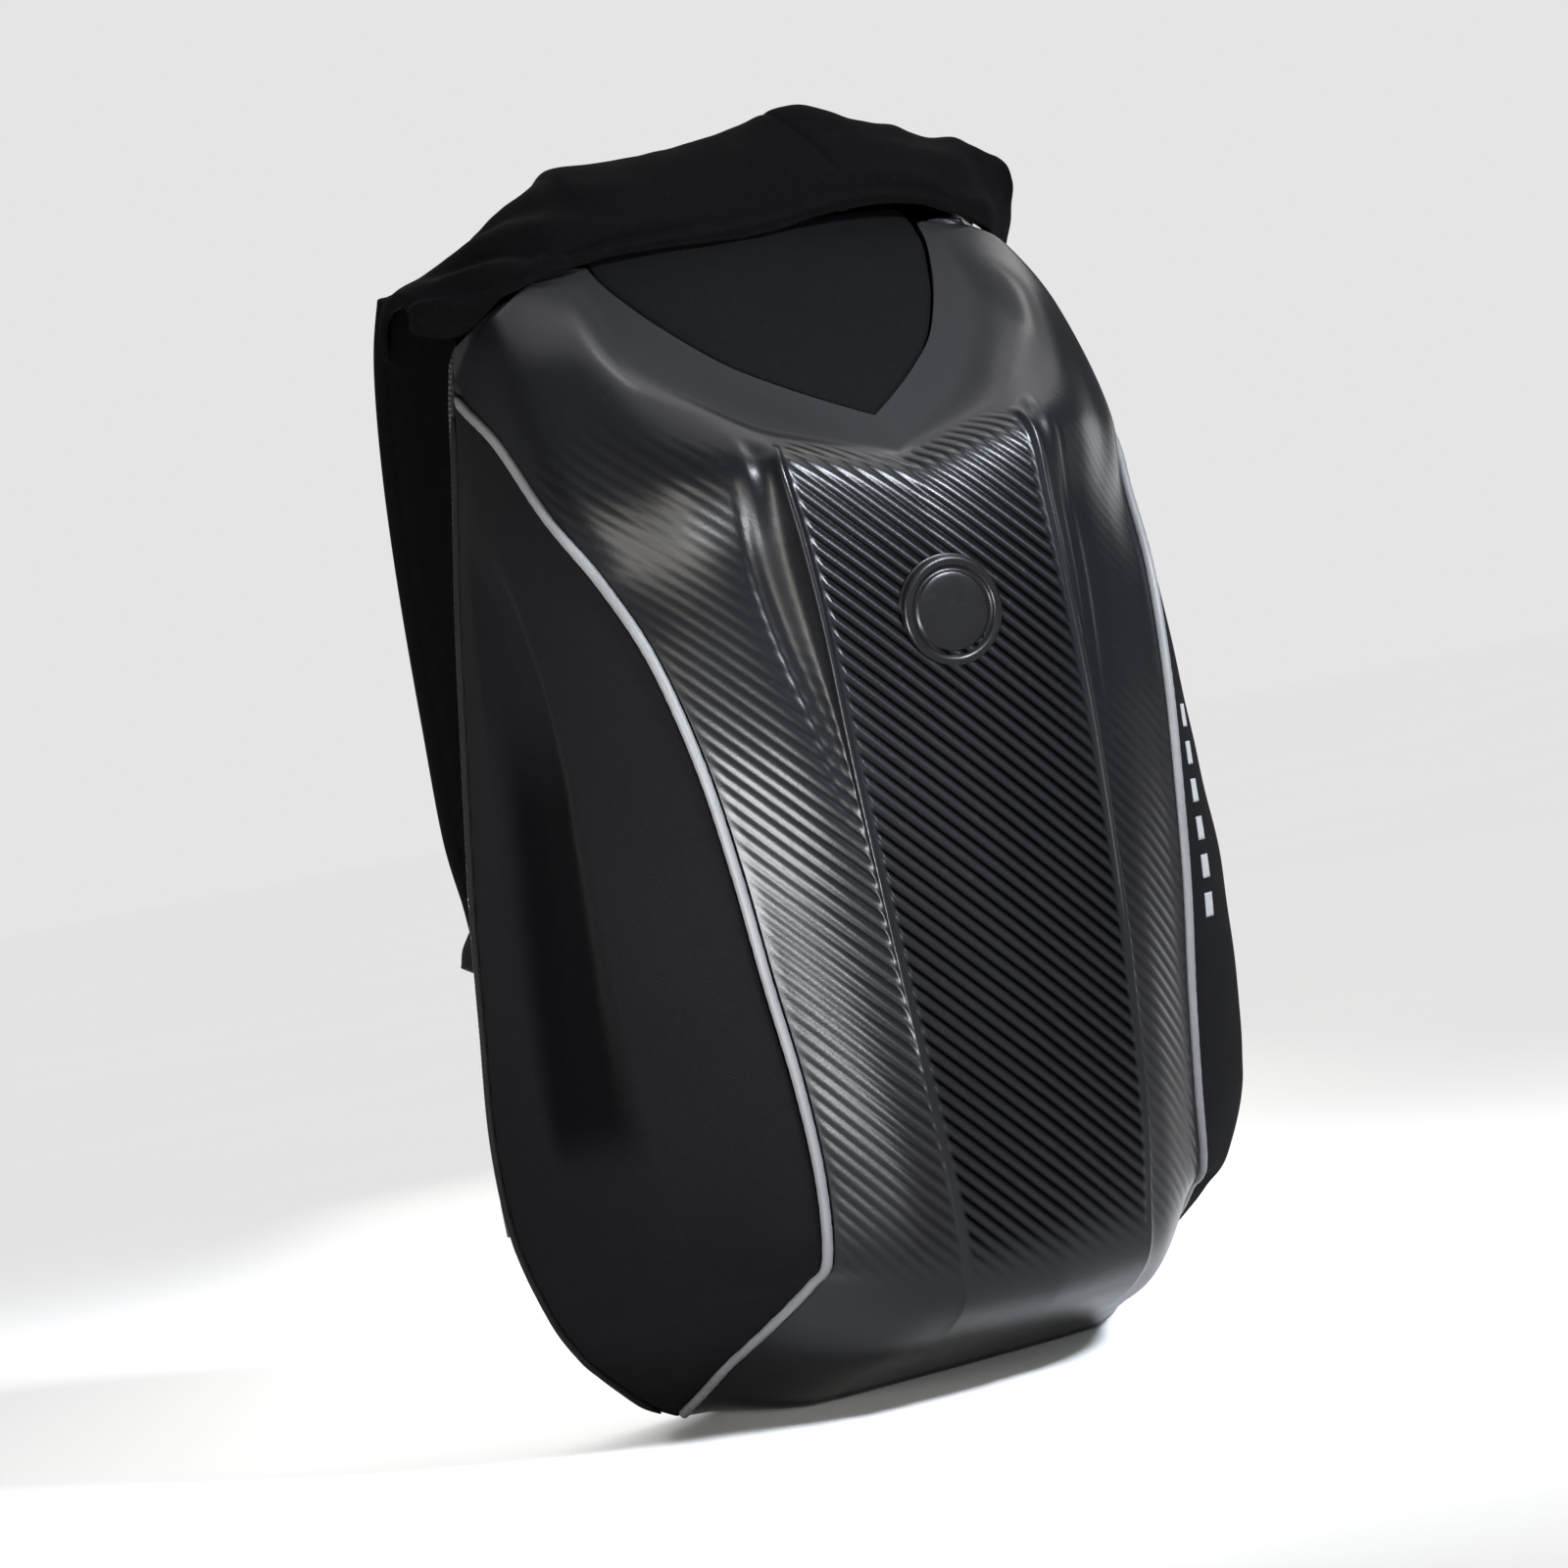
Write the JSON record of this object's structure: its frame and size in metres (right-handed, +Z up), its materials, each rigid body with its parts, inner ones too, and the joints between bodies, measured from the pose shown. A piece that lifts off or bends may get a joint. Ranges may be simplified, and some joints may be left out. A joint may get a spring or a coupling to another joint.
{
  "type": "hard shell backpack",
  "caption": "Streamlined hard shell backpack with a faceted front, piped cloth side panels, a draped neoprene yoke, a padded back panel and padded shoulder straps.",
  "frame": {"origin": "middle of the flat part of the base, on the surface that the bag stands on", "axes": "+Z up, -Y out of the hard shell's front, +Y towards the wearer's back, +X to the right as seen from the front"},
  "size_m": [0.321, 0.2304, 0.4958],
  "materials": {
    "shell_skin": "satin, coated textile over moulded foam, finely ribbed",
    "dark_cloth": "matte woven",
    "neoprene": "matte",
    "reflective_trim": "satin, reflective",
    "black_plastic": "gloss"
  },
  "bodies": {
    "root": {"shell": "shell_skin", "shield_panel": "neoprene", "yoke": "neoprene", "side_panel_left": "dark_cloth", "side_panel_right": "dark_cloth", "piping_left": "reflective_trim", "piping_right": "reflective_trim", "rim_binding_left": "reflective_trim", "rim_binding_right": "reflective_trim", "badge": "black_plastic", "rear_gusset": "dark_cloth", "main_zip": "black_plastic", "zip_slider_left": "black_plastic", "zip_slider_right": "black_plastic", "back_panel": "dark_cloth", "shoulder_strap_left": "dark_cloth", "shoulder_strap_right": "dark_cloth", "strap_buckle_left": "black_plastic", "strap_buckle_right": "black_plastic", "strap_webbing_left": "dark_cloth", "strap_webbing_right": "dark_cloth"}
  },
  "joints": []
}
